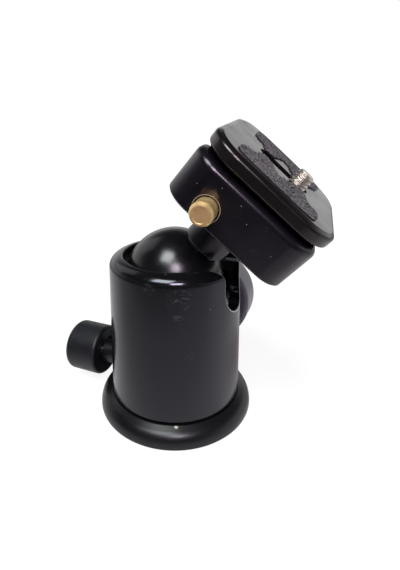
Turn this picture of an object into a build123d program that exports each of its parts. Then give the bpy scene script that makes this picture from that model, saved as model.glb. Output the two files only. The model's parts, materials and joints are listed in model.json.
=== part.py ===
from build123d import *
import os
from math import hypot, radians, tan

# Tripod ball head with a quick-release clamp and plate, one STEP file for each sub-part.
# Millimetres. The origin is the mouth of the tripod socket and +Z points up. The drop slot
# faces +X, the pan lock -X and the main lock +Y.

# ------------------------------------------------------------------ driving dimensions
# ball and its pose
ball_r = 20.0
ball_z = 60.9
tilt_deg = 40.0              # stem leans this far towards the drop slot
twist_deg = 5.4              # clamp turned about the stem
seat_gap = 0.08              # ball to its seats, radially

# base disc and the spindle that the housing pans on
base_r = 34.4
base_edge_r = 1.0
dome_z = 7.4                 # top of the ellipse that shapes the flange
dome_end_deg = 66.0          # where the flange leaves the ellipse along its tangent
crest_r = 28.9               # inner end of that straight slope
groove_z = 7.4
land_r = 26.0
land_z = 8.6
socket_r = 3.97              # minor radius of the 3/8-16 tripod thread
socket_depth = 13.0
insert_r = 6.5
spindle_r = 14.0
spindle_z0 = 5.0
spindle_z1 = 23.3
pan_fit = 0.06               # running clearance of the pan bearing
base_screw_pcr = 10.2
base_screw_r = 1.5

# housing
housing_z0 = 9.6
housing_r0 = 28.73           # at the bottom
housing_r1 = 26.32           # where the rim starts to round over
rim_z0 = 66.65
rim_z1 = 70.81
lip_r = 20.84
lip_z = 66.6                 # underside of the lip that holds the seat ring
chamber_r = 22.5
chamber_z0 = 26.0
plug_r = 24.0
slot_half = 9.9
slot_flare_r = 5.5
slot_edge_r = 0.5
lip_edge_r = 0.4

# locks
main_z = 33.0
main_knob_r = 23.5
bush_r = 6.8                 # main collar's spigot in the housing wall
main_knob_y0, main_knob_y1 = 37.5, 53.5
pan_z = 15.5
pan_knob_r = 12.07
pan_knob_x0, pan_knob_x1 = 36.5, 52.9
wedge_deg = 12.0
wedge_half = 8.0
cup_z0, cup_z1 = 38.6, 49.5

# stem
stem_h0, stem_h1 = 20.0, 35.5
stem_r0, stem_r1 = 8.95, 8.75
neck_r = 7.5
stem_edge = 0.4

# clamp, in the platform frame: u along the channel, v across it, h from the ball's centre
clamp_h0, clamp_h1 = 35.6, 52.1
clamp_l, clamp_w = 47.9, 52.8
clamp_u = 1.3
clamp_corner_r = 9.15
clamp_top_r, clamp_bottom_edge = 1.5, 0.4
floor_h = 45.6               # channel floor
jaw_cut_h, jaw_cut_v = 40.9, 18.0
dove_half, dove_top_half = 18.0, 15.5
dove_h0, dove_h1, dove_h2 = 46.1, 47.6, 50.1
pocket_v = 20.0              # bottom of the pocket for the lever's eccentric hub
lever_u = 17.0
hub_r, hub_offset = 3.6, 0.8     # eccentric hub and its throw
hub_gap = 0.06               # hub to jaw with the lever closed
lever_v = pocket_v + hub_gap + hub_offset + hub_r
lever_h0, lever_h1 = 41.2, 49.4
button_u, button_h = -8.65, 40.5
button_r = 3.75
button_face_r, button_bevel = 2.9, 1.45
button_v0, button_v1 = -32.85, -12.0     # face and inner end
button_bore_end = -6.0
stop_v = -15.8               # grub screw that keeps the button in

# plate and camera screw
plate_h0, plate_h1, plate_h2 = 53.7, 57.5, 58.45
plate_l, plate_w = 47.6, 52.5
plate_u = 1.95
plate_corner_r = 11.4
bevel = 2.7                  # width of the plate's top bevel
bevel_r, plate_bottom_r = 2.5, 0.9       # roundings above and below the plate's side wall
slot_l, slot_w = 21.0, 6.8
recess_l, recess_w, recess_h = 28.6, 15.0, 55.0
screw_u = plate_u + 6.3
screw_r = 3.175              # 1/4-20 camera thread
screw_tip_h = 62.9
pad_sunk, pad_proud = 0.35, 0.55

# ------------------------------------------------------------------ frames
HEAD = Pos(0, 0, ball_z) * Rot(0, tilt_deg, 0)
PLATFORM = HEAD * Rot(0, 0, twist_deg)
MAIN = Pos(0, 0, main_z) * Rot(-90, 0, 0)       # local +Z runs out along +Y
PAN = Pos(0, 0, pan_z) * Rot(0, -90, 0)         # local +Z runs out along -X
BUTTON = Pos(button_u, 0, button_h) * Rot(-90, 0, 0)    # local +Z runs along +v
FROM_BASE = (Align.CENTER, Align.CENTER, Align.MIN)


# ------------------------------------------------------------------ helpers
def rod(radius, low, high):
    """Cylinder on the Z axis between two heights."""
    return Pos(0, 0, low) * Cylinder(radius, high - low, align=FROM_BASE)


def tube(outer, inner, low, high):
    """Plain sleeve or washer on the Z axis."""
    return rod(outer, low, high) - rod(inner, low, high)


def block(x0, x1, y0, y1, z0, z1):
    """Box between two opposite corners."""
    return Pos((x0 + x1) / 2, (y0 + y1) / 2, (z0 + z1) / 2) * Box(x1 - x0, y1 - y0, z1 - z0)


def turned(outline):
    """Solid of revolution about Z. The outline lies in radius and height."""
    return revolve(Plane.XZ * make_face(outline), axis=Axis.Z)


def turned_corners(*corners):
    return turned(Polyline(*corners, close=True))


def knob(radius, low, high, outer_round, inner_round, recess_r, recess_depth, bore_r, bore_end):
    """Smooth round knob with rolled edges, a recess round its neck and a blind bore."""
    body = rod(radius, low, high)
    body = fillet(body.edges().group_by(Axis.Z)[-1], outer_round)
    body = fillet(body.edges().group_by(Axis.Z)[0], inner_round)
    return body - rod(recess_r, low, low + recess_depth) - rod(bore_r, low, bore_end)


def slot_prism(x0, x1, half, flare):
    """Drop slot seen along X: round bottom at the ball's centre, flared at the rim."""
    top = rim_z1 + 1
    shape = Plane.YZ * (Pos(0, ball_z) * Circle(half))
    shape += Plane.YZ * (Pos(0, (ball_z + top) / 2) * Rectangle(2 * half, top - ball_z))
    cut = Pos(x0, 0, 0) * extrude(shape, x1 - x0)
    low = rim_z1 - flare + 0.3
    for side in (-1, 1):
        middle = side * (half + flare / 2 - 0.5)
        corner = Pos(middle, (low + top) / 2) * Rectangle(flare + 1, top - low)
        corner -= Pos(side * (half + flare), low) * Circle(flare)
        cut += Pos(x0, 0, 0) * extrude(Plane.YZ * corner, x1 - x0)
    return cut


# ------------------------------------------------------------------ base
def base_disc():
    dome = EllipticalCenterArc((crest_r, base_edge_r), base_r - crest_r, dome_z - base_edge_r, 0,
                               arc_size=dome_end_deg)
    shoulder, slope = dome @ 1, dome % 1
    crest_z = shoulder.Y + (crest_r - shoulder.X) * slope.Y / slope.X
    outline = Polyline((insert_r + 0.02, 0), (8.0, 0), (8.0, 0.6), (land_r, 0.6),
                       (land_r + 0.6, 0), (base_r - base_edge_r, 0))
    outline += CenterArc((base_r - base_edge_r, base_edge_r), base_edge_r, -90, 90)
    outline += dome
    outline += Polyline((shoulder.X, shoulder.Y), (crest_r, crest_z),
                        (crest_r - 0.3, crest_z - 0.3), (crest_r - 0.3, groove_z),
                        (land_r, groove_z), (land_r, land_z),
                        (spindle_r + 0.05, land_z), (spindle_r + 0.05, spindle_z0),
                        (insert_r + 0.02, spindle_z0), (insert_r + 0.02, 0))
    disc = turned(outline)
    for place in PolarLocations(base_screw_pcr, 3):
        disc -= place * (rod(base_screw_r + 0.05, 0, spindle_z0) + rod(2.9, 0, 2.3))
    return disc


def pan_spindle():
    groove_r, ring_r = spindle_r - 0.5, 13.1
    body = turned_corners((0, spindle_z0), (spindle_r, spindle_z0), (spindle_r, 11.9),
                          (groove_r, 12.2), (groove_r, 18.8), (spindle_r, 19.1),
                          (spindle_r, 21.35), (ring_r, 21.35), (ring_r, 22.55),
                          (spindle_r, 22.55), (spindle_r, 22.9), (spindle_r - 0.4, spindle_z1),
                          (0, spindle_z1))
    body -= rod(insert_r + 0.02, spindle_z0, socket_depth + 0.2)
    for place in PolarLocations(base_screw_pcr, 3):
        body -= place * rod(base_screw_r + 0.05, spindle_z0, 12.5)
    return body


def base_screws():
    one = rod(base_screw_r, 2.2, 12.0) + rod(2.75, 0.7, 2.2)
    one -= Pos(0, 0, 0.7) * extrude(RegularPolygon(1.3, 6), 1.0)
    return [place * one for place in PolarLocations(base_screw_pcr, 3)]


def thread_insert():
    return tube(insert_r, socket_r, 0, socket_depth)


def retaining_ring():
    ring = tube(16.3, 13.25, 21.4, 22.5)
    return ring - block(12, 17, -2.2, 2.2, 21, 23)


# ------------------------------------------------------------------ housing
def housing():
    outline = Polyline((plug_r, housing_z0), (housing_r0, housing_z0), (housing_r1, rim_z0))
    outline += EllipticalCenterArc((lip_r, rim_z0), housing_r1 - lip_r, rim_z1 - rim_z0, 0,
                                   arc_size=90)
    outline += Polyline((lip_r, rim_z1), (lip_r, lip_z), (chamber_r, lip_z),
                        (chamber_r, chamber_z0), (plug_r, chamber_z0), (plug_r, housing_z0))
    shell = turned(outline)
    shell -= slot_prism(5, 32, slot_half, slot_flare_r)
    slot_edges = [edge for edge in shell.edges().filter_by(GeomType.LINE, reverse=True)
                  if edge.center().X > 20 and edge.center().Z > 50
                  and hypot(edge.center().X, edge.center().Y) > 24]
    shell = fillet(slot_edges, slot_edge_r)
    shell = fillet(shell.edges().filter_by(GeomType.CIRCLE).group_by(Axis.Z)[-1], lip_edge_r)
    shell -= MAIN * (rod(bush_r, 20, 32) + rod(10.1, 25, 32))
    shell -= PAN * (rod(4.5, 20, 31) + rod(5.7, 27, 31))
    return shell


def bottom_plug():
    plug = tube(plug_r - 0.03, spindle_r + pan_fit, housing_z0, chamber_z0)
    plug -= rod(17.0, 20.0, chamber_z0)
    return plug - PAN * (rod(3.45, 12, 19.5) + rod(4.5, 19.4, 31))


def seat_ring():
    ring = rod(chamber_r - 0.05, 62.5, lip_z) - Pos(0, 0, ball_z) * Sphere(ball_r + seat_gap)
    return ring - slot_prism(5, 32, slot_half, slot_flare_r)


def floor_plate():
    return rod(chamber_r - 0.1, chamber_z0, 28.0)


def main_collar():
    flange = chamfer(rod(10.0, 25, 36.5).edges().group_by(Axis.Z)[-1], 0.6)
    return MAIN * (flange + rod(bush_r - 0.03, 22.6, 25) - rod(5.06, 22.6, 36.5))


def pan_collar():
    return PAN * (rod(5.6, 27, 36) + rod(4.45, 19.6, 27) - rod(3.06, 19.6, 36))


# ------------------------------------------------------------------ main lock
def wedge_top(y):
    """Height of the sloping face between the wedge and the cup's foot."""
    return 35.0 + y * tan(radians(wedge_deg))


def ball_cup():
    cup = rod(chamber_r - 0.1, cup_z0, cup_z1) - Pos(0, 0, ball_z) * Sphere(ball_r + seat_gap)
    low = 0.03
    foot = Polyline((-11, wedge_top(-11) + low), (11, wedge_top(11) + low),
                    (11, cup_z0), (-11, cup_z0), close=True)
    return cup + extrude(Plane.YZ * make_face(foot), wedge_half, both=True)


def lift_wedge():
    top = 37.4
    full_y = (top - 35.0) / tan(radians(wedge_deg))
    side = Polyline((-13, 28.03), (14, 28.03), (14, top), (full_y, top),
                    (-13, wedge_top(-13)), close=True)
    wedge = extrude(Plane.YZ * make_face(side), wedge_half, both=True)
    head = rod(2.7, 9.4, 11.6) + block(0, 9, -2.7, 2.7, 9.4, 11.6)
    neck = rod(1.7, 11.6, 15) + block(0, 9, -1.7, 1.7, 11.6, 15)
    return wedge - MAIN * (head + neck)


def main_spindle():
    return MAIN * (rod(2.6, 9.5, 11.5) + rod(1.6, 11.5, 14.6) + rod(5.0, 14.6, 50.0))


def main_knob():
    body = knob(main_knob_r, main_knob_y0, main_knob_y1, 2.5, 2.0, 11.0, 1.5, 5.02, 50.0)
    return MAIN * (body - rod(9.0, main_knob_y1 - 1.0, main_knob_y1))


def main_cap():
    cap = rod(8.9, main_knob_y1 - 0.95, main_knob_y1 - 0.2)
    return MAIN * chamfer(cap.edges().group_by(Axis.Z)[-1], 0.3)


# ------------------------------------------------------------------ pan lock
def pan_shoe():
    shoe = PAN * (rod(3.4, 12.5, 18.6) - rod(2.0, 16.0, 18.6))
    return shoe - rod(spindle_r - 0.5 + pan_fit, pan_z - 6, pan_z + 6)


def pan_stud():
    return PAN * (rod(1.9, 16.05, 18.7) + rod(3.0, 18.7, 49.0))


def pan_knob():
    return PAN * knob(pan_knob_r, pan_knob_x0, pan_knob_x1, 2.2, 1.5, 7.0, 1.2, 3.02, 49.0)


# ------------------------------------------------------------------ ball and stem
def ball():
    body = Sphere(ball_r) + rod(neck_r, 17, stem_h0 + 0.8)
    return HEAD * (body - rod(3.05, 8, stem_h0 + 0.8))


def stem():
    body = turned_corners((3.2, stem_h0 + 0.8), (neck_r + 0.05, stem_h0 + 0.8),
                          (neck_r + 0.05, stem_h0), (stem_r0 - stem_edge, stem_h0),
                          (stem_r0, stem_h0 + stem_edge), (stem_r1, stem_h0 + 4.5),
                          (stem_r1, stem_h1), (3.2, stem_h1))
    return HEAD * body


def stem_bolt():
    bolt = rod(3.0, 9, 39.4) + rod(5.0, 39.4, 45.2)
    return HEAD * (bolt - Pos(0, 0, 42.2) * extrude(RegularPolygon(2.9, 6), 3.0))


def stem_washer():
    return HEAD * tube(6.6, 3.05, 38.4, 39.4)


# ------------------------------------------------------------------ clamp
def rounded_prism(length, width, radius, low, high):
    return Pos(0, 0, low) * extrude(RectangleRounded(length, width, radius), high - low)


def clamp_outside():
    body = Pos(clamp_u, 0, 0) * rounded_prism(clamp_l, clamp_w, clamp_corner_r,
                                              clamp_h0, clamp_h1)
    body = fillet(body.edges().group_by(Axis.Z)[-1], clamp_top_r)
    return chamfer(body.edges().group_by(Axis.Z)[0], clamp_bottom_edge)


def channel():
    """Dovetail channel with its far side open, where the moving jaw closes it."""
    side = Polyline((-dove_half - 0.1, floor_h), (-dove_half - 0.1, dove_h1 + 0.1),
                    (-dove_top_half - 0.1, dove_h2 + 0.1), (-dove_top_half - 0.1, clamp_h1 + 1),
                    (30, clamp_h1 + 1), (30, jaw_cut_h), (jaw_cut_v, jaw_cut_h),
                    (jaw_cut_v, floor_h), close=True)
    return extrude(Plane.YZ * make_face(side), 40, both=True)


def jaw_pin_places():
    return [Pos(u, 0, 43.2) * Rot(-90, 0, 0) for u in (clamp_u - 15, clamp_u + 8)]


def clamp_body():
    body = clamp_outside() - channel()
    body -= rod(3.1, clamp_h0, floor_h) + rod(6.9, 38.3, floor_h)
    for place in jaw_pin_places():
        body -= place * (rod(1.5, 9, jaw_cut_v) + rod(2.7, 12, jaw_cut_v))
    body -= BUTTON * (rod(button_r + 0.06, -clamp_w / 2, button_bore_end)
                      + rod(4.2, -clamp_w / 2, -25.8))
    body -= Pos(button_u, stop_v, 0) * rod(0.95, clamp_h0, button_h)
    body -= Pos(lever_u, lever_v, 0) * rod(1.2, 37, jaw_cut_h)
    return PLATFORM * body


def moving_jaw():
    side = Polyline((18.2, 41.0), (22.0, 41.0), (22.0, clamp_h1), (dove_top_half + 0.1, clamp_h1),
                    (dove_top_half + 0.1, dove_h2 + 0.1), (dove_half + 0.1, dove_h1 + 0.1),
                    (dove_half + 0.1, floor_h + 0.1), (18.2, floor_h + 0.1), close=True)
    bar = extrude(Plane.YZ * make_face(side), 40, both=True) & clamp_outside()
    reach = hub_r + hub_offset + 0.3
    bar -= block(lever_u - reach, lever_u + reach, pocket_v, 23, 40, 53)
    for place in jaw_pin_places():
        bar -= place * rod(1.56, 17, 21.2)
    return PLATFORM * bar


def jaw_guide_pins():
    return [PLATFORM * place * rod(1.5, 9, 20.6) for place in jaw_pin_places()]


def jaw_springs():
    return [PLATFORM * place * tube(2.6, 1.6, 12.1, 17.9) for place in jaw_pin_places()]


def lock_lever():
    """Lever with an eccentric hub that pushes the moving jaw as it closes."""
    hub = Pos(lever_u, lever_v - hub_offset, 0) * rod(hub_r, lever_h0, lever_h1)
    face_v, back_v, tip_u = 22.5, 27.4, -19.0
    arm = Polyline((lever_u, face_v), (lever_u, back_v), (lever_u - 8, back_v + 0.6),
                   (tip_u + 6, back_v - 0.4), (tip_u, back_v - 2.2), (tip_u, face_v), close=True)
    arm = extrude(make_face(arm), lever_h1 - lever_h0 - 1.2)
    arm = fillet(arm.edges().filter_by(Axis.Z), 0.8)
    arm = chamfer(arm.edges().group_by(Axis.Z)[-1] + arm.edges().group_by(Axis.Z)[0], 0.4)
    body = hub + Pos(0, 0, lever_h0 + 0.6) * arm
    return PLATFORM * (body - Pos(lever_u, lever_v, 0) * rod(1.65, lever_h0, lever_h1))


def lever_pin():
    body = rod(1.2, 37, jaw_cut_h) + rod(1.6, jaw_cut_h, 49.5) + rod(2.6, 49.5, 50.7)
    body -= block(-3, 3, -0.3, 0.3, 50.2, 50.8)
    return PLATFORM * Pos(lever_u, lever_v, 0) * body


def release_button():
    dish_r, dish = 2.3, 0.12
    body = turned_corners((0, button_v0 + dish), (dish_r, button_v0 + dish),
                          (dish_r + dish, button_v0), (button_face_r, button_v0),
                          (button_r, button_v0 + button_bevel), (button_r, stop_v - 3.6),
                          (2.4, stop_v - 3.6), (2.4, stop_v + 1.0), (button_r, stop_v + 1.0),
                          (button_r, button_v1), (0, button_v1))
    return PLATFORM * BUTTON * body


def button_spring():
    low = button_bore_end - 3.4
    return PLATFORM * BUTTON * tube(3.3, 2.3, low, button_bore_end - 0.05)


def button_stop_screw():
    return PLATFORM * Pos(button_u, stop_v, 0) * rod(0.9, clamp_h0 + 0.1, 38.0)


# ------------------------------------------------------------------ plate
def plate():
    flat = plate_h2 - plate_h1
    body = Pos(plate_u, 0, 0) * rounded_prism(plate_l, plate_w, plate_corner_r,
                                              plate_h0, plate_h2)
    body = chamfer(body.edges().group_by(Axis.Z)[-1], flat, bevel)
    body = fillet(body.edges().group_by(Axis.Z)[-3], bevel_r)
    body = fillet(body.edges().group_by(Axis.Z)[0], plate_bottom_r)
    foot = Polyline((-dove_half, dove_h0), (dove_half, dove_h0), (dove_half, dove_h1),
                    (dove_top_half, dove_h2), (dove_top_half, plate_h0),
                    (-dove_top_half, plate_h0), (-dove_top_half, dove_h2),
                    (-dove_half, dove_h1), close=True)
    foot_u0, foot_u1 = clamp_u - clamp_l / 2 - 0.5, clamp_u + clamp_l / 2 + 0.5
    body += Pos(foot_u0, 0, 0) * extrude(Plane.YZ * make_face(foot), foot_u1 - foot_u0)
    body -= Pos(plate_u, 0, 0) * rounded_prism(recess_l, recess_w, 7.4, dove_h0, recess_h)
    body -= Pos(plate_u, 0, recess_h) * extrude(SlotOverall(slot_l, slot_w), 5)
    for side in (-1, 1):
        body -= pad_block(side, plate_h2 - pad_sunk, plate_h2 + 1, 0.02)
    return PLATFORM * body


def pad_outline():
    """Half-plate pad: two rounded lobes at the ends and a half-round bay at the slot."""
    right = [(0, 22.2), (15.6, 22.2), (15.6, 12.2), (13.2, 12.2), (10.3, 8.9), (9.6, 3.7),
             (0, 3.7)]
    left = [(-x, y) for x, y in reversed(right[1:-1])]
    shape = make_face(Polyline(*right, *left, close=True))
    corners = [v for v in shape.vertices() if v.Y > 22 or (abs(v.X) > 13 and v.Y < 13)]
    shape = fillet(corners, 1.15)
    return shape - Pos(0, 3.6) * Circle(5.3)


def pad_block(side, low, high, grow=0.0):
    shape = pad_outline()
    if grow:
        shape = offset(shape, grow)
    if side < 0:
        shape = mirror(shape, Plane.XZ)
    return Pos(plate_u, 0, low) * extrude(shape, high - low, dir=(0, 0, 1))


def pad(side):
    return PLATFORM * pad_block(side, plate_h2 - pad_sunk, plate_h2 + pad_proud)


def screw_washer():
    return PLATFORM * (Pos(screw_u, 0, 0) * (
        rounded_prism(13.6, 14.6, 6.6, 54.0, recess_h - 0.05) - rod(2.68, 54, recess_h)))


def camera_screw():
    body = rod(6.5, 49.2, 53.95) + rod(2.6, 53.95, 59.0) + rod(screw_r, 59.0, screw_tip_h)
    body = chamfer(body.edges().group_by(Axis.Z)[-1], 0.6)
    body -= block(-7, 7, -0.8, 0.8, 49, 50.6)
    return PLATFORM * Pos(screw_u, 0, 0) * body


# ------------------------------------------------------------------ sub-parts by node name
PARTS = {
    "base_disc": base_disc(),
    "pan_spindle": pan_spindle(),
    "base_screws": base_screws(),
    "thread_insert": thread_insert(),
    "pan_washer_lower": tube(25.5, 15.0, land_z, housing_z0 - 0.05),
    "pan_washer_upper": tube(16.7, spindle_r + 0.06, 20.05, 21.35),
    "retaining_ring": retaining_ring(),
    "housing": housing(),
    "bottom_plug": bottom_plug(),
    "seat_ring": seat_ring(),
    "floor_plate": floor_plate(),
    "main_collar": main_collar(),
    "pan_collar": pan_collar(),
    "ball_cup": ball_cup(),
    "lift_wedge": lift_wedge(),
    "main_knob": main_knob(),
    "main_spindle": main_spindle(),
    "main_cap": main_cap(),
    "pan_shoe": pan_shoe(),
    "pan_stud": pan_stud(),
    "pan_knob": pan_knob(),
    "ball": ball(),
    "stem": stem(),
    "stem_bolt": stem_bolt(),
    "stem_washer": stem_washer(),
    "clamp_body": clamp_body(),
    "moving_jaw": moving_jaw(),
    "jaw_guide_pins": jaw_guide_pins(),
    "jaw_springs": jaw_springs(),
    "lock_lever": lock_lever(),
    "lever_pin": lever_pin(),
    "release_button": release_button(),
    "button_spring": button_spring(),
    "button_stop_screw": button_stop_screw(),
    "plate": plate(),
    "pad_near": pad(-1),
    "pad_far": pad(1),
    "screw_washer": screw_washer(),
    "camera_screw": camera_screw(),
}

os.makedirs("parts", exist_ok=True)
for name, shape in PARTS.items():
    if isinstance(shape, list):
        shape = Compound(children=shape)
    export_step(shape, f"parts/{name}.step")
    print(name)
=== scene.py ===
# %% [markdown]
# # Dressing a tripod ball head
#
# The construction of this tripod head comes as a finished frame: every casing, screw and spring
# is already in its place, in metres, and rides on a body that can move. This notebook gives it
# its looks. It follows the order of work in a product studio: set the camera, light the table,
# then go over the object piece by piece, from the painted shell to the brass button and the
# rubber pads.

# %% Load the frame
import json
import math

import bmesh
import bpy
from mathutils import Matrix, Vector, noise


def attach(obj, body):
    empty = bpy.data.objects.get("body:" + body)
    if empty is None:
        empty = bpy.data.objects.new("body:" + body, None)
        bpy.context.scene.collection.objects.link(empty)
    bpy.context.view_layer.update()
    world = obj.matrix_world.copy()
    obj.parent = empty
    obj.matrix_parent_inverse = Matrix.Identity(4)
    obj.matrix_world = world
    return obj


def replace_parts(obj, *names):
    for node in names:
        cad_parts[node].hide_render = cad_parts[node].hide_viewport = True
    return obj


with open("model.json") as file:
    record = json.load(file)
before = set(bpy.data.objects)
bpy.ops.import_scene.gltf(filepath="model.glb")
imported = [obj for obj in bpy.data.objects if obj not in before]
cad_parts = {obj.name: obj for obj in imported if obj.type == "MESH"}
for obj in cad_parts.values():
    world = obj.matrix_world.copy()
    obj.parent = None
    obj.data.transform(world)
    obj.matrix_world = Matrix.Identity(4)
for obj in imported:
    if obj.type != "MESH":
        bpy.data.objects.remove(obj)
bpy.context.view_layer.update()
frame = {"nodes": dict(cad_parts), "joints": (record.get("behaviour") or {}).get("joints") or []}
nodes = frame["nodes"]
MM = 0.001

# %% [markdown]
# ## Where things are
#
# A ball head is two machines in one: an upright housing, and a clamp that leans with the ball.
# Anything added to the clamp is easiest to draw in the clamp's own directions, so they are read
# from the joints: along the dovetail channel (u), across it (v), and up the stem (h), measured
# from the centre of the ball. One matrix then carries a drawing in millimetres to its place.

# %% Clamp directions
joints = {joint["name"]: joint for joint in frame["joints"]}
ball_centre = Vector(joints["ball_tilt"]["pos_m"])
along = -Vector(joints["plate_slide"]["axis"])
across = Vector(joints["jaw_slide"]["axis"])
stem_up = Vector(joints["ball_twist"]["axis"])

platform = Matrix((along, across, stem_up)).transposed().to_4x4()
platform = Matrix.Translation(ball_centre) @ platform @ Matrix.Scale(MM, 4)
print("the stem leans", round(math.degrees(stem_up.angle((0, 0, 1))), 1), "degrees")

# %% [markdown]
# ## The camera
#
# A small object looks right only from the distance it is usually seen from. Close up, the near
# rim spreads and the far knob shrinks. The camera stands under 20 cm from the middle of the base
# and above the object. It looks down by 24 degrees, through a wide lens: 24 mm on a frame that
# is 36 mm high.

# %% Set the camera
VIEW_WIDTH, VIEW_HEIGHT = 400, 570
FOCAL_PX = 382.1
CENTRE_PX = (180.6, 284.4)
SENSOR_MM = 36
CAMERA_AT = (0.0568, -0.1333, 0.12165)
HEADING, DOWN, ROLL = 22.2, 24.08, 0.09     # degrees


def add_object(name, data):
    """A new object in the scene that holds the data."""
    made = bpy.data.objects.new(name, data)
    bpy.context.scene.collection.objects.link(made)
    return made


camera_data = bpy.data.cameras.new("camera")
camera = add_object("camera", camera_data)
bpy.context.scene.camera = camera
camera_data.sensor_width = SENSOR_MM
camera_data.lens = FOCAL_PX * SENSOR_MM / VIEW_HEIGHT
camera_data.shift_x = (VIEW_WIDTH / 2 - CENTRE_PX[0]) / VIEW_HEIGHT
camera_data.shift_y = (CENTRE_PX[1] - VIEW_HEIGHT / 2) / VIEW_HEIGHT
camera_data.clip_start = 0.01
camera.location = CAMERA_AT
turn = Matrix.Rotation(math.radians(HEADING), 3, "Z")
turn = turn @ Matrix.Rotation(math.radians(90 - DOWN), 3, "X")
turn = turn @ Matrix.Rotation(math.radians(ROLL), 3, "Z")
camera.rotation_euler = turn.to_euler()
print("lens", round(camera_data.lens, 2), "mm,", round(Vector(CAMERA_AT).length, 3), "m away")

# %% [markdown]
# ## Small helpers for shader trees
#
# A finish is built from a few habits: a Principled shader that holds the plain numbers on its own
# sockets, patterns read from Object coordinates so that they have a real size, and values that
# are stretched from one range to another. These helpers work on a material, and most of them on
# the world too, and are the vocabulary for all that follows.

# %% Nodes and links
def shader(name, **inputs):
    """A material with one Principled shader, whose own sockets hold its plain numbers."""
    made = bpy.data.materials.new(name)
    made.use_nodes = True
    principled = made.node_tree.nodes["Principled BSDF"]
    for socket, value in inputs.items():
        principled.inputs[socket.replace("_", " ")].default_value = value
    return made


def principled_of(material):
    return material.node_tree.nodes["Principled BSDF"]


def add_node(owner, kind, **inputs):
    """A new node in the tree of a material or of the world."""
    made = owner.node_tree.nodes.new(kind)
    for socket, value in inputs.items():
        made.inputs[socket.replace("_", " ")].default_value = value
    return made


def wire(owner, source, target):
    owner.node_tree.links.new(source, target)


# %% Places and values
def place(material, origin=(0, 0, 0), rotation=(0, 0, 0), stretch=(1, 1, 1)):
    """Object coordinates, moved, turned or stretched so that a pattern sits on its piece."""
    where = add_node(material, "ShaderNodeTexCoord")
    mapping = add_node(material, "ShaderNodeMapping", Location=origin, Rotation=rotation,
                       Scale=stretch)
    mapping.vector_type = "TEXTURE"
    wire(material, where.outputs["Object"], mapping.inputs["Vector"])
    return mapping.outputs["Vector"]


def split_xyz(owner, vector):
    """A vector's outputs X, Y and Z."""
    parts = add_node(owner, "ShaderNodeSeparateXYZ")
    wire(owner, vector, parts.inputs["Vector"])
    return parts.outputs


def spread(material, source, low, high, from_low=0.3, from_high=0.7):
    """A value between low and high that follows the source."""
    ranged = add_node(material, "ShaderNodeMapRange", From_Min=from_low, From_Max=from_high,
                      To_Min=low, To_Max=high)
    wire(material, source, ranged.inputs["Value"])
    return ranged.outputs["Result"]


def math_node(owner, operation, *values):
    """A Math node's result. Each value is a number or another node's output."""
    made = add_node(owner, "ShaderNodeMath")
    made.operation = operation
    for socket, value in zip(made.inputs, values):
        if isinstance(value, bpy.types.NodeSocket):
            wire(owner, value, socket)
        else:
            socket.default_value = value
    return made.outputs["Value"]


def grey_ramp(owner, source, stops):
    """A grey that follows the source. The first two stops are its lowest and its highest."""
    node = add_node(owner, "ShaderNodeValToRGB")
    elements = node.color_ramp.elements
    for element, (position, grey) in zip((elements[0], elements[1]), stops):
        element.position, element.color = position, (grey, grey, grey, 1)
    for position, grey in stops[2:]:
        elements.new(position).color = (grey, grey, grey, 1)
    wire(owner, source, node.inputs["Fac"])
    return node.outputs["Color"]


# %% [markdown]
# ## The table
#
# Black paint has almost no colour of its own. What the eye reads as its shape is the room in it,
# so table, room and lamps are laid out for reflections. The table's colour is a painted pool of
# light: pale round the object and painted darker towards the front, as if shade fell there, and
# the upright sides take an even grey from it. A painted picture could do that, but a ramp along
# one direction is enough. To the camera itself the table glows white, less a share of the
# object's shadow.

# %% Table top
TABLE_RADIUS, TABLE_SIDES = 3.0, 96
table_mesh = bpy.data.meshes.new("table")
bm = bmesh.new()
bmesh.ops.create_circle(bm, cap_ends=True, radius=TABLE_RADIUS, segments=TABLE_SIDES)
bm.to_mesh(table_mesh)
bm.free()
table = add_object("table", table_mesh)
print("table", round(table.dimensions.x, 1), "m across")

# %% Table paint, with a painted pool of light
# painted light: the table's grey is a pool of light round the object, with painted shade towards
# the front
FRONT, BACK = -0.25, 0.05
TABLE_LIGHT_POOL_GREYS = [(FRONT, 0.07), (BACK, 1.0), (-0.16, 0.28), (-0.11, 0.47), (-0.08, 0.53),
               (-0.05, 0.64), (-0.025, 0.85), (0.005, 0.98)]     # metres behind the axis, and grey
SHADOW_KEPT, SHADOW_NEAR, SHADOW_FAR = 0.22, 0.06, 0.14
GLOW = 1.12

table_paint = shader("table_white", Roughness=0.7, Specular_IOR_Level=0.1)
table_shader = principled_of(table_paint)
table_at = split_xyz(table_paint, place(table_paint))
table_painted_light = grey_ramp(table_paint, spread(table_paint, table_at["Y"], 0, 1, FRONT, BACK),
                       [((y - FRONT) / (BACK - FRONT), grey) for y, grey in TABLE_LIGHT_POOL_GREYS])
wire(table_paint, table_painted_light, table_shader.inputs["Base Color"])

out_from_axis = add_node(table_paint, "ShaderNodeVectorMath")
out_from_axis.operation = "LENGTH"
wire(table_paint, place(table_paint), out_from_axis.inputs[0])
whiteness = spread(table_paint, out_from_axis.outputs["Value"], 1 - SHADOW_KEPT, 1,
                   SHADOW_NEAR, SHADOW_FAR)
rays = add_node(table_paint, "ShaderNodeLightPath")
glow = add_node(table_paint, "ShaderNodeEmission", Strength=GLOW)
mixer = add_node(table_paint, "ShaderNodeMixShader")
wire(table_paint, math_node(table_paint, "MULTIPLY", rays.outputs["Is Camera Ray"], whiteness),
     mixer.inputs["Fac"])
wire(table_paint, table_shader.outputs["BSDF"], mixer.inputs[1])
wire(table_paint, glow.outputs["Emission"], mixer.inputs[2])
wire(table_paint, mixer.outputs["Shader"],
     table_paint.node_tree.nodes["Material Output"].inputs["Surface"])
table_mesh.materials.append(table_paint)
print("table paint:", len(TABLE_LIGHT_POOL_GREYS), "greys from front to back")

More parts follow.
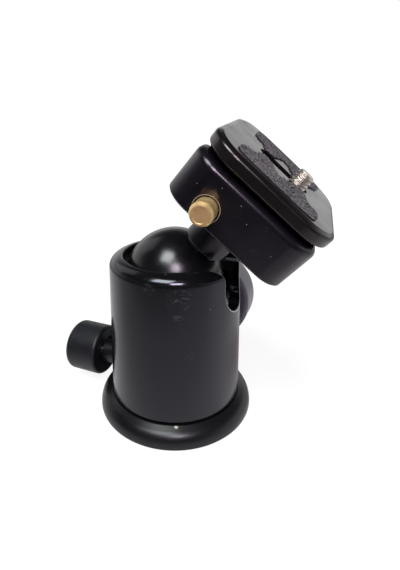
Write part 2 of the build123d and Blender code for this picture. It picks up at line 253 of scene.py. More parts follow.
# %% [markdown]
# ## The room
#
# The room is only a sky of greys, which costs nothing to render. The wall behind is bright and
# low, and gives the flat top of the plate its sheen at a shallow angle. The ceiling is dark, so
# that upper faces stay black. Each is a ramp on the direction that a ray leaves in, and the two
# are multiplied. The camera itself sees white all round.

# %% Room
HEIGHT_GREYS = [(0.0, 1.0), (1.0, 0.04), (0.28, 1.0), (0.42, 0.30), (0.60, 0.05)]
DEPTH_GREYS = [(0.0, 0.10), (1.0, 1.0), (0.28, 0.12), (0.5, 0.8)]

world = bpy.data.worlds.new("room")
bpy.context.scene.world = world
world.use_nodes = True
bpy.context.scene.view_settings.view_transform = "Standard"

direction = add_node(world, "ShaderNodeTexCoord")
way = split_xyz(world, direction.outputs["Generated"])
front_to_back = math_node(world, "MULTIPLY_ADD", way["Y"], 0.5, 0.5)
greys = add_node(world, "ShaderNodeMix")
greys.data_type, greys.blend_type = "RGBA", "MULTIPLY"
greys.inputs["Factor"].default_value = 1.0
wire(world, grey_ramp(world, way["Z"], HEIGHT_GREYS), greys.inputs["A"])
wire(world, grey_ramp(world, front_to_back, DEPTH_GREYS), greys.inputs["B"])
background = world.node_tree.nodes["Background"]
wire(world, greys.outputs["Result"], background.inputs["Color"])

white = add_node(world, "ShaderNodeBackground", Color=(1, 1, 1, 1))
world_rays = add_node(world, "ShaderNodeLightPath")
world_mix = add_node(world, "ShaderNodeMixShader")
wire(world, world_rays.outputs["Is Camera Ray"], world_mix.inputs["Fac"])
wire(world, background.outputs["Background"], world_mix.inputs[1])
wire(world, white.outputs["Background"], world_mix.inputs[2])
wire(world, world_mix.outputs["Shader"], world.node_tree.nodes["World Output"].inputs["Surface"])
print("room:", len(world.node_tree.nodes), "nodes")

# %% [markdown]
# ## The lamps
#
# Square lamps reflect as soft patches, as a studio's soft boxes do. The white one draws the main
# highlight on ball and rim, a small rose one lies beside it, and a weak one fills from the left.


# %% Lamps
def lamp(name, way, distance, size, watts, colour):
    """A square lamp that looks at the ball's centre from that way."""
    data = bpy.data.lights.new(name, "AREA")
    data.size = size
    data.energy = watts
    data.color = colour
    made = add_object(name, data)
    way = Vector(way).normalized()
    made.location = ball_centre + way * distance
    made.rotation_euler = way.to_track_quat("Z", "Y").to_euler()
    print(name, [round(x, 2) for x in made.location])


lamp("white_lamp", (-0.08, -0.47, 0.88), distance=0.8, size=0.34, watts=5.0,
     colour=(0.97, 1.0, 0.98))
lamp("rose_lamp", (0.33, -0.70, 0.63), distance=0.35, size=0.10, watts=0.7,
     colour=(1.0, 0.86, 0.98))
lamp("side_lamp", (-0.75, 0.22, 0.60), distance=0.8, size=0.42, watts=0.4,
     colour=(1.0, 0.98, 1.0))

# %% [markdown]
# ## Black paint
#
# Housing, base, clamp and plate are painted or anodised alloy. The finish isn't a mirror: a fine
# orange peel breaks the highlights up, handling leaves faint duller patches, and a little dust
# sits on it. The peel is relief, the patches are roughness, and the dust is colour, so each of
# them stays put when the piece turns.


# %% Grain, relief and dust
def grain(material, size_mm, detail=2.0, stretch=(1, 1, 1)):
    """Noise whose blobs are about size_mm across, or longer where it is stretched."""
    texture = add_node(material, "ShaderNodeTexNoise", Scale=1 / (size_mm * MM), Detail=detail)
    wire(material, place(material, stretch=stretch), texture.inputs["Vector"])
    return texture.outputs["Fac"]


def roughen(material, source, low, high):
    """A roughness between low and high that follows the source."""
    wire(material, spread(material, source, low, high),
         principled_of(material).inputs["Roughness"])


def relief(material, height, depth_mm, strength=1.0):
    """Bump on top of any that the material has already."""
    normal = principled_of(material).inputs["Normal"]
    bump = add_node(material, "ShaderNodeBump", Strength=strength, Distance=depth_mm * MM)
    wire(material, height, bump.inputs["Height"])
    if normal.is_linked:
        wire(material, normal.links[0].from_socket, bump.inputs["Normal"])
    wire(material, bump.outputs["Normal"], normal)


def cover(material, factor, colour):
    """Lays a colour over what the shader's colour already is, where the factor is 1."""
    target = principled_of(material).inputs["Base Color"]
    mix = add_node(material, "ShaderNodeMix")
    mix.data_type = "RGBA"
    mix.inputs["A"].default_value = target.default_value
    mix.inputs["B"].default_value = (*colour, 1)
    if target.is_linked:
        wire(material, target.links[0].from_socket, mix.inputs["A"])
    wire(material, factor, mix.inputs["Factor"])
    wire(material, mix.outputs["Result"], target)


def specks(material, spacing_mm, size_mm, share):
    """1 on specks of dust: a share of the cells of a Voronoi pattern holds one each."""
    cells = add_node(material, "ShaderNodeTexVoronoi", Scale=1 / (spacing_mm * MM))
    wire(material, place(material), cells.inputs["Vector"])
    reach = size_mm / spacing_mm / 2
    dot = spread(material, cells.outputs["Distance"], 1, 0, reach * 0.6, reach)
    chance = add_node(material, "ShaderNodeSeparateColor")
    wire(material, cells.outputs["Color"], chance.inputs["Color"])
    picked = math_node(material, "GREATER_THAN", chance.outputs["Red"], 1 - share)
    return math_node(material, "MULTIPLY", dot, picked)


# %% Paints
PATCH_MM = 9
DUST_SPACING, DUST_SIZE, DUST_GREY = 1.9, 0.32, (0.26, 0.26, 0.28)


def black_paint(name, colour, roughness, tint=(0.84, 0.87, 1.0), peel_mm=0.35,
                peel_depth_mm=0.0015, dust=0.16):
    """Glossy black finish with orange peel, dull patches and specks of dust."""
    made = shader(name, Base_Color=(*colour, 1), Specular_IOR_Level=0.5, Specular_Tint=(*tint, 1))
    roughen(made, grain(made, PATCH_MM, detail=4), roughness - 0.03, roughness + 0.06)
    cover(made, specks(made, DUST_SPACING, DUST_SIZE, dust), DUST_GREY)
    relief(made, grain(made, peel_mm, detail=3), peel_depth_mm)
    print(name, "with", len(made.node_tree.nodes), "nodes")
    return made


body_paint = black_paint("housing_paint", (0.004, 0.0042, 0.0048), 0.15, dust=0.08)
base_paint = black_paint("base_paint", (0.004, 0.004, 0.0045), 0.31, tint=(0.76, 0.77, 0.81))
ball_paint = black_paint("ball_paint", (0.004, 0.004, 0.005), 0.22, tint=(0.94, 0.95, 0.98),
                         peel_mm=0.2, peel_depth_mm=0.009, dust=0.0)
clamp_paint = black_paint("clamp_paint", (0.0035, 0.003, 0.0045), 0.25, tint=(0.95, 0.88, 1.0),
                          dust=0.3)
plate_paint = black_paint("plate_paint", (0.0045, 0.004, 0.004), 0.22, tint=(1.0, 0.935, 0.91),
                          dust=0.05)

# %% [markdown]
# ## Wear and painted highlights
#
# Paint wears off in scuffed spots under the rim, where hands and straps rub, and a chip on the
# base shows the primer. The pale lines on the edges of the drop slot and along the lower edges of
# clamp and stem are painted highlights, for the light that those edges catch, and a tan ring is
# painted round the button's bore. Each mark is a distance, to a point, a height, an axis or the
# slot's outline, that fades a paler colour in, so the marks stay on the piece in every view.
# Places on the body are in metres, as the frame is, and all other sizes are in millimetres.


# %% Distances that fade
def near_point(material, centre, core_mm, edge_mm):
    """1 round a point of the object, fading to 0 between two distances."""
    apart = add_node(material, "ShaderNodeVectorMath")
    apart.operation = "DISTANCE"
    apart.inputs[1].default_value = centre
    wire(material, place(material), apart.inputs[0])
    return spread(material, apart.outputs["Value"], 1, 0, core_mm * MM, edge_mm * MM)


def band(material, value, middle_mm, half_mm):
    """1 where a length in metres is within half_mm of middle_mm, with soft ends."""
    apart = math_node(material, "ABSOLUTE", math_node(material, "SUBTRACT", value, middle_mm * MM))
    return spread(material, apart, 1, 0, half_mm * MM * 0.5, half_mm * MM)


def distance(material, beside, above):
    """The length of a line that goes so far beside and so far above."""
    squares = [math_node(material, "POWER", leg, 2) for leg in (beside, above)]
    return math_node(material, "SQRT", math_node(material, "ADD", *squares))


# %% Housing: a painted highlight on the drop slot's edge, and scuffs
SLOT_EDGE, SLOT_BAND, SLOT_FROM_X = 10.25, 0.26, 15
SCUFFS = [((0.0117, -0.0238, 0.0630), 5.5), ((0.0010, -0.0264, 0.0660), 2.6),
          ((0.0113, -0.0243, 0.0559), 2.4), ((0.0155, -0.0228, 0.0392), 2.5)]   # centre, size mm
SLOT_HIGHLIGHT_GREY, SCUFFED = (0.5, 0.5, 0.54), (0.075, 0.075, 0.082)

at = split_xyz(body_paint, place(body_paint))
below_ball = math_node(body_paint, "MINIMUM",
                       math_node(body_paint, "SUBTRACT", at["Z"], ball_centre.z), 0)
# painted highlight: a pale band on the slot's rounded edge stands in for the light that this edge
# catches
slot_side = math_node(body_paint, "GREATER_THAN", at["X"], SLOT_FROM_X * MM)
slot_edge_highlight = math_node(body_paint, "MULTIPLY", slot_side,
                      band(body_paint, distance(body_paint, at["Y"], below_ball),
                           SLOT_EDGE, SLOT_BAND))
cover(body_paint, slot_edge_highlight, SLOT_HIGHLIGHT_GREY)

scratches = spread(body_paint, grain(body_paint, 0.6, detail=4, stretch=(3, 3, 1)), 0, 0.4,
                   from_low=0.52, from_high=0.64)
for centre, size_mm in SCUFFS:
    spot = near_point(body_paint, centre, size_mm * 0.4, size_mm)
    cover(body_paint, math_node(body_paint, "MULTIPLY", scratches, spot), SCUFFED)
print("scuffed spots:", len(SCUFFS))

# %% Base: a chip
CHIP_AT, PRIMER = (0.0116, -0.0270, 0.0080), (0.55, 0.52, 0.44)
ragged = spread(base_paint, grain(base_paint, 0.4, detail=3), 0.3, 1,
                from_low=0.42, from_high=0.5)
chip = math_node(base_paint, "MULTIPLY", ragged,
                 near_point(base_paint, CHIP_AT, core_mm=0.5, edge_mm=1.0))
cover(base_paint, chip, PRIMER)
print("a chip", round(Vector(CHIP_AT[:2]).length / MM, 1), "mm from the axis")

# %% Clamp and stem: painted highlights on the lower edges, and a ring round the button's bore
# painted highlights: pale bands on the lower edges of clamp and stem stand in for the light those
# edges catch
LOWER_EDGE_HIGHLIGHTS = [(36.0, 0.16), (20.35, 0.22)]     # height and half width
BUTTON_U, BUTTON_H = -8.65, 40.5
BORE_EDGE, BORE_BAND, BUTTON_WALL = 4.4, 0.18, -26
EDGE_HIGHLIGHT_GREY, BORE_TAN = (0.09, 0.09, 0.10), (0.24, 0.20, 0.15)


def clamp_place(material):
    """Object coordinates in the clamp's own directions: along, across and up, in metres."""
    vector = place(material, origin=ball_centre, rotation=platform.to_euler())
    return split_xyz(material, vector)


def from_button(material, clamp_at):
    """The distance from the button's axis, in metres."""
    beside = math_node(material, "SUBTRACT", clamp_at["X"], BUTTON_U * MM)
    above = math_node(material, "SUBTRACT", clamp_at["Z"], BUTTON_H * MM)
    return distance(material, beside, above)


clamp_at = clamp_place(clamp_paint)
for edge_mm, half_mm in LOWER_EDGE_HIGHLIGHTS:
    cover(clamp_paint, band(clamp_paint, clamp_at["Z"], edge_mm, half_mm), EDGE_HIGHLIGHT_GREY)
near_side = math_node(clamp_paint, "LESS_THAN", clamp_at["Y"], BUTTON_WALL * MM)
bore_edge = math_node(clamp_paint, "MULTIPLY", near_side,
                      band(clamp_paint, from_button(clamp_paint, clamp_at), BORE_EDGE, BORE_BAND))
cover(clamp_paint, bore_edge, BORE_TAN)
# the count holds the painted highlights on the lower edges and the tan ring round the bore
print("worn edges on the clamp:", len(LOWER_EDGE_HIGHLIGHTS) + 1)

# %% [markdown]
# ## Knobs, metals and plastics
#
# The small knob is moulded in a dull black that scatters light more widely than paint does. The
# large one has a grip of rubber whose grey is painted light: a base colour lighter than black
# stands in for the bright room it reflects at grazing angles, and a sheen adds to it where it
# turns away from the eye. Inside, and on the hidden sides, are the finishes that machine parts
# are bought with: turned alloy, plated and blackened steel, brass, and pale nylon for the seats.


# %% Knobs
CLOUD_MM, PEBBLE_MM, PEBBLE_DEPTH = 4, 0.22, 0.012


def moulded(name, colour, roughness):
    """Dull moulding with a fine even grain."""
    made = shader(name, Base_Color=(*colour, 1), Specular_IOR_Level=0.4)
    roughen(made, grain(made, CLOUD_MM, detail=3), roughness - 0.06, roughness + 0.06)
    relief(made, grain(made, PEBBLE_MM, detail=3), PEBBLE_DEPTH)
    print(name, "with roughness about", roughness)
    return made


knob_plastic = moulded("knob_plastic", (0.005, 0.006, 0.009), 0.45)
# painted light: a grey lighter than black, standing in for the bright room that the large knob
# reflects at grazing angles
knob_grip_painted_light = moulded("knob_rubber_painted_light", (0.16, 0.152, 0.185), 0.34)
grip = principled_of(knob_grip_painted_light).inputs
grip["Sheen Weight"].default_value = 1.0
grip["Sheen Roughness"].default_value = 0.3
grip["Sheen Tint"].default_value = (0.93, 0.9, 1.0, 1)


# %% Metals and nylon
def metal(name, colour, roughness, scratch_mm=0.5, depth_mm=0.004):
    """Bare metal with fine tool marks and uneven polish."""
    made = shader(name, Base_Color=(*colour, 1), Metallic=1.0)
    roughen(made, grain(made, scratch_mm, detail=4), roughness - 0.06, roughness + 0.1)
    relief(made, grain(made, scratch_mm, detail=5), depth_mm)
    print(name, "with scratches of", scratch_mm, "mm")
    return made


turned_alloy = metal("turned_alloy", (0.62, 0.62, 0.64), 0.32)
plated_steel = metal("plated_steel", (0.58, 0.57, 0.55), 0.26)
black_steel = metal("black_steel", (0.05, 0.05, 0.055), 0.38)
brass = metal("brass", (0.92, 0.74, 0.34), 0.42, scratch_mm=0.25, depth_mm=0.001)
principled_of(brass).inputs["Metallic"].default_value = 0.8
nickel = metal("nickel", (0.66, 0.61, 0.55), 0.38, scratch_mm=0.3, depth_mm=0.0003)

nylon = shader("nylon", Base_Color=(0.72, 0.71, 0.66, 1), Roughness=0.45)
relief(nylon, grain(nylon, 0.4), depth_mm=0.006)

# %% [markdown]
# ## Pad rubber
#
# The pads are a mix of rubber and cork crumbs. The crumbs are patches of a paler grey, with a few
# brighter specks among them, and a coarse relief keeps the surface dull. Their walls get a
# smoother finish and a darker colour, painted shade for the dark gap along the pads' edges.

# %% Rubber, and painted shade on the walls
CRUMB_MM, CRUMB_GREY, SPECK_GREY = 0.7, (0.18, 0.172, 0.18), (0.34, 0.34, 0.36)
rubber = shader("pad_rubber", Base_Color=(0.02, 0.019, 0.022, 1), Roughness=0.9,
                Specular_IOR_Level=0.04)
crumbs = spread(rubber, grain(rubber, CRUMB_MM), 0, 1, from_low=0.42, from_high=0.58)
cover(rubber, crumbs, CRUMB_GREY)
cover(rubber, specks(rubber, spacing_mm=0.9, size_mm=0.5, share=0.3), SPECK_GREY)
relief(rubber, grain(rubber, 0.6, detail=4), depth_mm=0.12)
# painted shade: a darker colour for the pad walls, for the dark gap along their edges
pad_wall_painted_shade = shader("pad_wall_painted_shade", Base_Color=(0.006, 0.006, 0.007, 1), Roughness=0.6)
relief(pad_wall_painted_shade, grain(pad_wall_painted_shade, 0.3), depth_mm=0.02)
print("pad rubber with", len(rubber.node_tree.nodes), "nodes")

# %% [markdown]
# ## The brass button's tool marks
#
# The button is turned from bar, and its face keeps the fine rings of the cutter. They are sine
# waves of the distance from the button's axis, in the clamp's own directions. Handling has also
# browned the brass in cloudy patches. The face is painted browner still, as painted shade that
# keeps it from reflecting the room as brightly as the rest.

# %% Lathe rings, patina, and painted shade on the face
RING_MM, RING_DEPTH = 0.28, 0.004
FACE_FROM, FACE_TO = -32.6, -32.2     # across the clamp, in millimetres
BROWNED, FACE_PAINTED_SHADE = (0.72, 0.44, 0.20), (0.66, 0.37, 0.18)
button_at = clamp_place(brass)
rings = math_node(brass, "SINE", math_node(brass, "MULTIPLY", from_button(brass, button_at),
                                           2 * math.pi / (RING_MM * MM)))
relief(brass, rings, RING_DEPTH, strength=0.6)
clouds = spread(brass, grain(brass, 2.2, detail=4), 0, 0.5, from_low=0.4, from_high=0.62)
cover(brass, clouds, BROWNED)
# painted shade: the button's face is browner than the brass round it, so it reflects the room less
# brightly
face_painted_shade = spread(brass, button_at["Y"], 0.65, 0, FACE_FROM * MM, FACE_TO * MM)
cover(brass, face_painted_shade, FACE_PAINTED_SHADE)
print("rings every", RING_MM, "mm")

# %% [markdown]
# ## A finish for every piece of the frame
#
# Most pieces of the frame have the right shape already, and need only their finish in their
# material slot. A plain list of names is the easiest way to see that none is left out.

# %% Give every node its finish
FINISHES = {
    "base_disc": base_paint, "pan_spindle": turned_alloy, "base_screws": black_steel,
    "thread_insert": plated_steel, "pan_washer_lower": nylon, "pan_washer_upper": nylon,
    "retaining_ring": black_steel, "housing": body_paint, "bottom_plug": turned_alloy,
    "seat_ring": black_steel, "floor_plate": turned_alloy, "main_collar": body_paint,
    "pan_collar": base_paint, "ball_cup": nylon, "lift_wedge": brass,
    "main_spindle": plated_steel, "main_knob": knob_grip_painted_light, "main_cap": knob_plastic,
    "pan_shoe": brass, "pan_stud": plated_steel, "pan_knob": knob_plastic, "ball": ball_paint,
    "stem": clamp_paint, "stem_bolt": black_steel, "stem_washer": plated_steel,
    "clamp_body": clamp_paint, "moving_jaw": clamp_paint, "jaw_guide_pins": plated_steel,
    "jaw_springs": plated_steel, "lock_lever": clamp_paint, "lever_pin": black_steel,
    "release_button": brass, "button_spring": plated_steel, "button_stop_screw": black_steel,
    "plate": plate_paint, "pad_near": rubber, "pad_far": rubber, "screw_washer": plated_steel,
    "camera_screw": nickel,
}
for name, finish in FINISHES.items():
    mesh = nodes[name].data
    mesh.materials.clear()
    mesh.materials.append(finish)
print("finished:", len(FINISHES), "of", len(nodes), "pieces")

# %% [markdown]
# ## Geometry Nodes for what follows a rule
#
# A thread is a rule more than a shape: so much rise for each turn. A tree of nodes states the
# rule once, with its sizes as named inputs. The result is kept as a plain mesh, because the
# finished part shouldn't depend on a live modifier.


# %% Tree helpers
def new_tree(name, sizes):
    """An empty tree with one named input for each size."""
    made = bpy.data.node_groups.new(name, "GeometryNodeTree")
    for size in sizes:
        made.interface.new_socket(size, in_out="INPUT", socket_type="NodeSocketFloat")
    made.interface.new_socket("Geometry", in_out="OUTPUT", socket_type="NodeSocketGeometry")
    print("tree", name, "with the inputs", ", ".join(sizes))
    return made, made.nodes.new("NodeGroupInput").outputs


def feed(tree, socket, value):
    """Gives a socket a plain value, or links it to another node's output."""
    if isinstance(value, bpy.types.NodeSocket):
        tree.links.new(value, socket)
    else:
        socket.default_value = value


def step(tree, kind, **inputs):
    made = tree.nodes.new(kind)
    for name, value in inputs.items():
        feed(tree, made.inputs[name.replace("_", " ")], value)
    return made


def calc(tree, operation, *values):
    made = tree.nodes.new("ShaderNodeMath")
    made.operation = operation
    for socket, value in zip(made.inputs, values):
        feed(tree, socket, value)
    return made.outputs["Value"]


# %% Ending a tree and growing its mesh
def end_tree(tree, geometry, material):
    real = step(tree, "GeometryNodeRealizeInstances", Geometry=geometry)
    painted = step(tree, "GeometryNodeSetMaterial", Geometry=real.outputs["Geometry"],
                   Material=material)
    end = tree.nodes.new("NodeGroupOutput")
    tree.links.new(painted.outputs["Geometry"], end.inputs["Geometry"])
    print("tree", tree.name, "has", len(tree.nodes), "nodes")


def grow(tree, sizes):
    """The plain mesh that a tree makes with the given sizes."""
    holder = add_object("holder", bpy.data.meshes.new("holder"))
    modifier = holder.modifiers.new("tree", "NODES")
    modifier.node_group = tree
    for item in tree.interface.items_tree:
        if item.in_out == "INPUT":
            modifier[item.identifier] = sizes[item.name]
    evaluated = holder.evaluated_get(bpy.context.evaluated_depsgraph_get())
    mesh = bpy.data.meshes.new_from_object(evaluated)
    holder.modifiers.remove(modifier)
    bpy.data.objects.remove(holder)
    return mesh


# %% [markdown]
# ## Reworking a CAD piece
#
# Some pieces need a form that their solid doesn't have. The CAD mesh itself stays as it is. A
# copy of it is brought into the clamp's own directions, in millimetres, where a face is easy to
# name by its place. There it is edited, and then put back and put in the node's place.

# %% Piece helpers
SAME_MM = 0.001     # two heights or points this close are the same one


def drawing_of(node):
    """A merged copy of a node's mesh, in the clamp's directions and in millimetres."""
    bm = bmesh.new()
    bm.from_mesh(nodes[node].data)
    bmesh.ops.transform(bm, matrix=platform.inverted(), verts=bm.verts)
    bmesh.ops.remove_doubles(bm, verts=bm.verts, dist=SAME_MM)
    return bm


def cut_at(bm, height, **how):
    """Cuts a drawing's faces where a level plane meets them."""
    bmesh.ops.bisect_plane(bm, geom=bm.verts[:] + bm.edges[:] + bm.faces[:],
                           plane_co=(0, 0, height), plane_no=(0, 0, 1), **how)


def piece_from(bm, name, body, material, sharp_deg=30, flat_from=math.inf):
    """A finished piece from a drawing. Faces at or above flat_from are shaded flat."""
    mesh = bpy.data.meshes.new(name)
    flat = [min(vert.co.z for vert in face.verts) > flat_from - SAME_MM for face in bm.faces]
    bm.to_mesh(mesh)
    bm.free()
    mesh.transform(platform)
    mesh.materials.append(material)
    mesh.shade_smooth()
    mesh.set_sharp_from_angle(angle=math.radians(sharp_deg))
    for face, is_flat in zip(mesh.polygons, flat):
        face.use_smooth = not is_flat
    made = add_object(name, mesh)
    even = made.modifiers.new("even", "WEIGHTED_NORMAL")
    even.keep_sharp, even.weight = True, 100
    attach(made, body)
    print(name, len(mesh.polygons), "faces")
    return made


# %% [markdown]
# ## The camera screw
#
# The screw that a camera sits on is a quarter inch thread, 20 turns to the inch. A grid is
# wrapped round a cylinder so that its rows climb by the pitch in a turn, and each row's radius
# follows a triangle wave, so a crest is one clean row. The thread runs out at both ends. Head and
# neck stay as the solid has them, cut off inside the thread.

# %% Thread tree: how far up and how far out
THREAD_AROUND, ROWS_PER_TURN, THREAD_TURNS, PITCH = 64, 14, 5, 1.27
thread, sizes = new_tree("screw_thread", ["Crest Radius", "Root Radius", "Pitch", "Turns"])
grid = step(thread, "GeometryNodeMeshGrid", Size_X=1.0, Size_Y=1.0,
            Vertices_X=THREAD_AROUND + 1, Vertices_Y=ROWS_PER_TURN * (THREAD_TURNS + 1) + 1)
where = step(thread, "ShaderNodeSeparateXYZ",
             Vector=step(thread, "GeometryNodeInputPosition").outputs["Position"])
all_rows = calc(thread, "ADD", sizes["Turns"], 1.0)
row = calc(thread, "MULTIPLY", where.outputs["Y"], all_rows)
middle = calc(thread, "MULTIPLY_ADD", sizes["Turns"], 0.5, where.outputs["X"])
turns_up = calc(thread, "MINIMUM", sizes["Turns"],
                calc(thread, "MAXIMUM", 0.0, calc(thread, "ADD", row, middle)))
wave = calc(thread, "PINGPONG", calc(thread, "MULTIPLY_ADD", sizes["Turns"], 0.5, row), 0.5)
flank = step(thread, "ShaderNodeMapRange", Value=wave, From_Min=0.06, From_Max=0.42)
to_end = calc(thread, "MINIMUM", turns_up, calc(thread, "SUBTRACT", sizes["Turns"], turns_up))
fade = step(thread, "ShaderNodeMapRange", Value=to_end, From_Min=0.02, From_Max=0.5)
thread_depth = calc(thread, "SUBTRACT", sizes["Crest Radius"], sizes["Root Radius"])
ridge = calc(thread, "MULTIPLY", flank.outputs["Result"], fade.outputs["Result"])
radius = calc(thread, "MULTIPLY_ADD", thread_depth, ridge, sizes["Root Radius"])

# %% Thread tree: wall, tip and foot
WELD_MM = 0.002
angle = calc(thread, "MULTIPLY", where.outputs["X"], 2 * math.pi)
wrapped = step(thread, "ShaderNodeCombineXYZ",
               X=calc(thread, "MULTIPLY", radius, calc(thread, "COSINE", angle)),
               Y=calc(thread, "MULTIPLY", radius, calc(thread, "SINE", angle)),
               Z=calc(thread, "MULTIPLY", turns_up, sizes["Pitch"]))
wall = step(thread, "GeometryNodeSetPosition", Geometry=grid.outputs["Mesh"],
            Position=wrapped.outputs["Vector"])
disc = step(thread, "GeometryNodeMeshCircle", Vertices=THREAD_AROUND,
            Radius=sizes["Root Radius"])
disc.fill_type = "NGON"
length = calc(thread, "MULTIPLY", sizes["Turns"], sizes["Pitch"])
tip = step(thread, "GeometryNodeTransform", Geometry=disc.outputs["Mesh"],
           Translation=step(thread, "ShaderNodeCombineXYZ", Z=length).outputs["Vector"])
foot = step(thread, "GeometryNodeFlipFaces", Mesh=disc.outputs["Mesh"])
joined = thread.nodes.new("GeometryNodeJoinGeometry")
for part in (wall.outputs["Geometry"], tip.outputs["Geometry"], foot.outputs["Mesh"]):
    thread.links.new(part, joined.inputs["Geometry"])
closed = step(thread, "GeometryNodeMergeByDistance", Geometry=joined.outputs["Geometry"],
              Distance=WELD_MM)
end_tree(thread, closed.outputs["Geometry"], nickel)

# %% Camera screw
SCREW_U, SCREW_TIP, CREST_RADIUS, ROOT_RADIUS = 8.25, 62.9, 3.175, 2.55
THREAD_START = SCREW_TIP - THREAD_TURNS * PITCH
SOLID_INSIDE = 0.3     # how far the solid neck reaches up into the thread
thread_mesh = grow(thread, {"Crest Radius": CREST_RADIUS, "Root Radius": ROOT_RADIUS,
                            "Pitch": PITCH, "Turns": float(THREAD_TURNS)})
thread_mesh.transform(Matrix.Translation((SCREW_U, 0, THREAD_START)))
bm = drawing_of("camera_screw")
cut_at(bm, THREAD_START + SOLID_INSIDE, clear_outer=True)
bmesh.ops.holes_fill(bm, edges=bm.edges, sides=0)
bm.from_mesh(thread_mesh)
threaded = piece_from(bm, "camera_screw_threaded", "camera_screw", nickel,
                      sharp_deg=50)
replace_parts(threaded, "camera_screw")

# %% [markdown]
# ## Sharper or softer rims
#
# The rims of clamp and plate catch most of the light on the head, so their roundings matter. The
# solids have the right plan, but on the real head the clamp's rim is rounder and the plate's is
# tighter, with a straight slope above it. The mesh is first cut at the heights where the new
# profile bends. Then every rim point keeps its height, and moves to the inset that the new
# profile has there.


# %% Rim profiles, in millimetres
class Rim:
    """Profile of a rim: wall up to a crease, rounded there, then a slope to the top."""

    def __init__(self, top, crease, slope, rounding):
        self.top, self.slope, self.rounding = top, slope, rounding
        self.turn = math.atan2(slope, top - crease)
        tangent = rounding * math.tan(self.turn / 2)
        self.wall_top = crease - tangent
        self.slope_inset = tangent * math.sin(self.turn)
        self.slope_low = crease + tangent * math.cos(self.turn)

    def inset_at(self, height):
        if height <= self.wall_top:
            return 0
        if height <= self.slope_low:
            rise = min((height - self.wall_top) / self.rounding, 1)
            return self.rounding * (1 - math.sqrt(1 - rise * rise))
        part = (height - self.slope_low) / (self.top - self.slope_low)
        return self.slope_inset + part * (self.slope - self.slope_inset)

    def bends(self, steps=7):
        return [self.wall_top + self.rounding * math.sin(self.turn * i / steps)
                for i in range(steps + 1)]


# %% Moving a rim
INSET_SLACK = 0.02


def reshape_rim(bm, middle, length, width, corner, old, new, low, out_by=0.0):
    """Moves the rim of a block with rounded corners from one profile to another."""
    for height in new.bends():
        if height < new.top - SAME_MM:
            cut_at(bm, height, dist=1e-5)
    core = (length / 2 - corner, width / 2 - corner)
    for vert in bm.verts:
        u, v, height = vert.co.x - middle, vert.co.y, vert.co.z
        inner = Vector((max(-core[0], min(core[0], u)), max(-core[1], min(core[1], v))))
        out = Vector((u, v)) - inner
        inset = corner - out.length
        if height < low or not -INSET_SLACK < inset < old.slope + INSET_SLACK:
            continue
        if height > new.top - SAME_MM:
            inset += new.slope - old.slope
        else:
            inset += new.inset_at(height) - old.inset_at(height)
        place_at = inner + out.normalized() * (corner - inset + out_by)
        vert.co = (place_at.x + middle, place_at.y, height)


# %% Clamp and moving jaw
CLAMP_U, CLAMP_LENGTH, CLAMP_WIDTH, CLAMP_CORNER = 1.3, 47.9, 52.8, 9.15
CLAMP_TOP, CRISP_MM, SOFT_MM = 52.1, 1.5, 2.6
crisp = Rim(CLAMP_TOP, crease=CLAMP_TOP, slope=CRISP_MM, rounding=CRISP_MM)
soft = Rim(CLAMP_TOP, crease=CLAMP_TOP, slope=SOFT_MM, rounding=SOFT_MM)
for node, body in (("clamp_body", "clamp"), ("moving_jaw", "jaw")):
    bm = drawing_of(node)
    reshape_rim(bm, CLAMP_U, CLAMP_LENGTH, CLAMP_WIDTH, CLAMP_CORNER, crisp, soft,
                low=soft.wall_top)
    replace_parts(piece_from(bm, node + "_rounded", body, clamp_paint,
                           sharp_deg=25, flat_from=CLAMP_TOP), node)

# %% [markdown]
# ## The camera plate
#
# The plate's rim has a straight wall, a tight rounding and a narrow slope up to the flat top.
# Its foot is a dovetail on a shorter neck, and both stop inside the clamp's ends. The solid's
# shallow beds for the pads are filled, because the pads bring their own outlines.

# %% Plate sizes, in millimetres
PLATE_U, PLATE_LENGTH, PLATE_WIDTH, PLATE_CORNER = 1.95, 47.6, 52.5, 11.4
UNDERSIDE, PLATE_TOP, WALL_OUT = 53.7, 58.45, 0.2
FOOT_HALF, NECK_HALF, NECK_LOW = 23.8, 20.5, 48
ENDS_FROM, LEVEL_SLACK = 24.0, 0.005     # the solid's foot and neck reach past ENDS_FROM
BED_DEPTH, BED_HALF_U, BED_HALF_V = 0.4, 17, 23.5
solid_rim = Rim(PLATE_TOP, crease=57.5, slope=2.7, rounding=2.5)
plate_rim = Rim(PLATE_TOP, crease=57.65, slope=1.9, rounding=1.3)
print("plate rim: straight up to", round(plate_rim.wall_top, 2), "mm above the ball's centre")

# %% Plate
bm = drawing_of("plate")
for vert in bm.verts:
    from_middle = vert.co.x - CLAMP_U
    if vert.co.z < UNDERSIDE + LEVEL_SLACK and abs(from_middle) > ENDS_FROM:
        half = FOOT_HALF if vert.co.z < NECK_LOW else NECK_HALF
        vert.co.x = CLAMP_U + math.copysign(half, from_middle)
reshape_rim(bm, PLATE_U, PLATE_LENGTH, PLATE_WIDTH, PLATE_CORNER, solid_rim, plate_rim,
            low=UNDERSIDE - SAME_MM, out_by=WALL_OUT)
for vert in bm.verts:
    over_bed = abs(vert.co.x - PLATE_U) < BED_HALF_U and abs(vert.co.y) < BED_HALF_V
    if over_bed and PLATE_TOP - BED_DEPTH < vert.co.z:
        vert.co.z = PLATE_TOP
bmesh.ops.remove_doubles(bm, verts=bm.verts, dist=SAME_MM)
bmesh.ops.dissolve_degenerate(bm, edges=bm.edges, dist=SAME_MM / 2)
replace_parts(piece_from(bm, "camera_plate", "plate", plate_paint,
                       sharp_deg=14, flat_from=PLATE_TOP), "plate")

# %% [markdown]
# ## Rubber pads
#
# Two pads of cork-like rubber keep the camera from turning. Their outer edges are moulded
# smooth, and the inner ones, round the slot, are ragged. Each outline is drawn by a few points,
# rounded, and then given small teeth by noise along the ragged stretch. The camera screw passes
# between the pads, so the teeth end where its way begins.

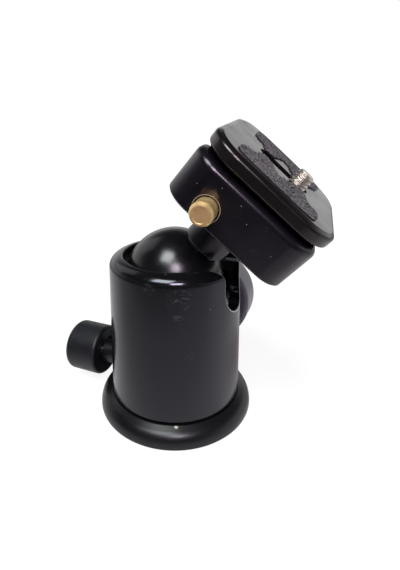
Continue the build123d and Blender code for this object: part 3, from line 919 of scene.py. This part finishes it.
# %% Pad outlines, in millimetres from the plate's middle
NEAR_OUTLINE = [(-12.4, 23.3), (-15.4, 21.6), (-15.6, 17.0), (-14.9, 12.4), (-12.6, 11.9),
                (-11.0, 11.2), (-9.4, 6.2), (-8.4, 3.7), (-6.2, 3.7), (-3.6, 7.4), (-2.0, 10.9),
                (-0.4, 11.3), (2.7, 8.1), (4.6, 6.4), (6.6, 3.9), (8.4, 3.7), (9.5, 5.4),
                (10.5, 9.6), (12.0, 11.6), (14.6, 11.8), (15.6, 14.6), (15.4, 19.4),
                (14.3, 22.4), (12.2, 23.4)]
FAR_OUTLINE = [(-12.4, 23.3), (-15.2, 21.6), (-15.6, 17.0), (-15.0, 11.2), (-13.2, 9.4),
               (-11.8, 9.6), (-10.2, 7.6), (-9.6, 3.9), (-7.0, 3.7), (-4.6, 5.0), (-3.2, 9.2),
               (-1.0, 12.3), (1.4, 10.4), (2.7, 6.4), (4.6, 3.9), (8.6, 3.7), (9.8, 6.4),
               (11.6, 10.6), (13.6, 11.8), (14.9, 16.4), (15.5, 20.0), (14.6, 22.6),
               (12.2, 23.4)]
PAD_TOP, PAD_STEP = 58.78, 0.4
RAGGED_BELOW, TOOTH, SMOOTH_TOOTH, TOOTH_MM = 13.0, 0.6, 0.04, 0.6
SLOT_CLEAR = 3.6
print("points drawn by hand:", len(NEAR_OUTLINE), "and", len(FAR_OUTLINE))


# %% Pads
def rounded(points, times=3):
    """Cuts every corner of a closed outline, again and again, until it is a smooth curve."""
    for _ in range(times):
        pairs = zip(points, points[1:] + points[:1])
        points = [a.lerp(b, share) for a, b in pairs for share in (0.25, 0.75)]
    return points


def pad_piece(name, outline, side):
    """A pad with a ragged outline, on the near side (-1) or the far side (1) of the slot."""
    points = rounded([Vector((x, y, 0)) for x, y in outline])
    bm = bmesh.new()
    foot, lid = [], []
    for point, following in zip(points, points[1:] + points[:1]):
        outwards = (following - point).cross(Vector((0, 0, 1))).normalized()
        tooth = TOOTH if point.y < RAGGED_BELOW else SMOOTH_TOOTH
        jag = noise.noise(Vector((point.x, point.y, side * 5)) / TOOTH_MM) * tooth * 2
        place_at = point + outwards * jag
        place_at.y = max(place_at.y, SLOT_CLEAR)
        for ring, height in ((foot, PAD_TOP - PAD_STEP), (lid, PAD_TOP)):
            ring.append(bm.verts.new((PLATE_U + place_at.x, side * place_at.y, height)))
    bm.faces.new(foot)
    bm.faces.new(lid)
    for i in range(len(foot)):
        bm.faces.new((foot[i - 1], foot[i], lid[i], lid[i - 1]))
    bmesh.ops.recalc_face_normals(bm, faces=bm.faces)
    made = piece_from(bm, name, "plate", rubber, flat_from=PAD_TOP)
    # the walls take the darker material, painted shade for the gap round the pad
    made.data.materials.append(pad_wall_painted_shade)
    for face in made.data.polygons:
        is_wall = len(face.vertices) == 4
        face.material_index = 1 if is_wall else 0
    return made


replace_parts(pad_piece("pad_near_rubber", NEAR_OUTLINE, -1), "pad_near")
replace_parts(pad_piece("pad_far_rubber", FAR_OUTLINE, 1), "pad_far")
